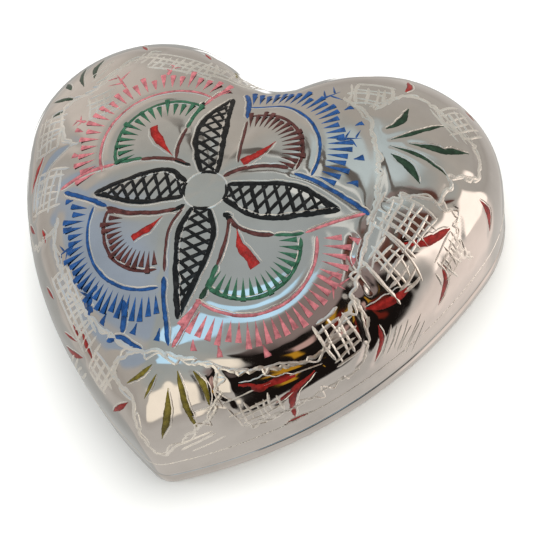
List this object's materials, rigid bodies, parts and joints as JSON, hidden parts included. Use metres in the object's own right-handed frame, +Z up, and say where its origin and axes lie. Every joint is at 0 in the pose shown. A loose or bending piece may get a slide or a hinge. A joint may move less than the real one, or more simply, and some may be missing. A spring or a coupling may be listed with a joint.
{
  "type": "music box",
  "caption": "Heart-shaped nickel-plated music box: domed hinged lid with coloured engraving, shallow base with a winding key beneath, clockwork cylinder movement and a trinket tray.",
  "frame": {"origin": "on the supporting surface, under the middle of the box's bounding box", "axes": "+Z up; the tip of the heart points along -Y and the hinges are at +Y; X runs across the two lobes"},
  "size_m": [0.11, 0.1016, 0.0389],
  "materials": {
    "lid_nickel": "polished nickel plate with coloured engraving",
    "base_nickel": "polished nickel plate",
    "hinge_nickel": "polished",
    "tray_velvet": "short pile",
    "pad_velvet": "short pile",
    "cast_zinc": "cast, dull",
    "steel": "polished",
    "brass": "satin",
    "cylinder_brass": "turned",
    "blued_steel": "blued",
    "comb_steel": "ground",
    "fan_plastic": "moulded"
  },
  "bodies": {
    "base": {"base_shell": "base_nickel", "base_leaf_left": "hinge_nickel", "base_leaf_right": "hinge_nickel", "hinge_pin_left": "hinge_nickel", "hinge_pin_right": "hinge_nickel", "trinket_tray": "tray_velvet", "tray_pad": "pad_velvet", "bedplate": "cast_zinc", "movement_screws": "steel", "barrel_bridge": "brass", "bridge_screws": "steel", "click_screw": "steel", "click_spring": "blued_steel", "left_bearing": "cast_zinc", "comb": "comb_steel", "comb_screws": "steel", "governor_frame": "brass", "frame_screws": "steel", "plunger_spring": "blued_steel"},
    "lid": {"lid_shell": "lid_nickel", "lid_leaf_left": "hinge_nickel", "lid_leaf_right": "hinge_nickel"},
    "winder": {"winding_arbor": "steel", "winding_key": "brass", "ratchet_wheel": "steel"},
    "barrel": {"spring_drum": "brass", "drum_cap": "brass", "great_wheel": "brass", "mainspring": "blued_steel"},
    "click": {"click": "steel"},
    "cylinder": {"pin_cylinder": "cylinder_brass", "cylinder_ends": "brass", "cylinder_pins": "steel", "cylinder_arbor": "steel", "cylinder_pinion": "brass", "cylinder_gear": "brass"},
    "governor": {"governor_arbor": "steel", "governor_pinion": "brass", "worm_wheel": "brass"},
    "fly": {"worm_shaft": "steel", "governor_fan": "fan_plastic"},
    "plunger": {"stop_plunger": "steel"}
  },
  "joints": [
    {"name": "lid_hinge", "type": "hinge", "parent": "base", "child": "lid", "pos_m": [0, 0.0492, 0.0033], "axis": [-1, 0, 0], "range_deg": [0, 95]},
    {"name": "key_winding", "type": "hinge", "parent": "base", "child": "winder", "pos_m": [-0.0145, 0.015, 0.0209], "axis": [0, 0, 1], "range_deg": [0, 1800]},
    {"name": "drum_turn", "type": "hinge", "parent": "base", "child": "barrel", "pos_m": [-0.0145, 0.015, 0.0209], "axis": [0, 0, 1], "continuous": true},
    {"name": "click_rock", "type": "hinge", "parent": "base", "child": "click", "pos_m": [-0.0133, 0.025, 0.029], "axis": [0, 0, 1], "range_deg": [-8, 0], "stiffness_Nm_per_rad": 0.0005},
    {"name": "cylinder_turn", "type": "hinge", "parent": "base", "child": "cylinder", "pos_m": [0.01, 0.015, 0.0209], "axis": [1, 0, 0], "continuous": true},
    {"name": "governor_turn", "type": "hinge", "parent": "base", "child": "governor", "pos_m": [0.025, 0.024, 0.0209], "axis": [1, 0, 0], "continuous": true},
    {"name": "fly_turn", "type": "hinge", "parent": "base", "child": "fly", "pos_m": [0.026, 0.0294, 0.0209], "axis": [0, 0, 1], "continuous": true},
    {"name": "plunger_rise", "type": "slide", "parent": "base", "child": "plunger", "axis": [0, 0, 1], "range_m": [0, 0.002], "deforming": ["plunger_spring"]}
  ],
  "couplings": [
    {"joint": "drum_turn", "follows": "cylinder_turn", "ratio": 0.25},
    {"joint": "governor_turn", "follows": "cylinder_turn", "ratio": -4},
    {"joint": "fly_turn", "follows": "cylinder_turn", "ratio": 80},
    {"joint": "plunger_rise", "follows": "lid_hinge", "m_per_rad": 0.001205}
  ]
}
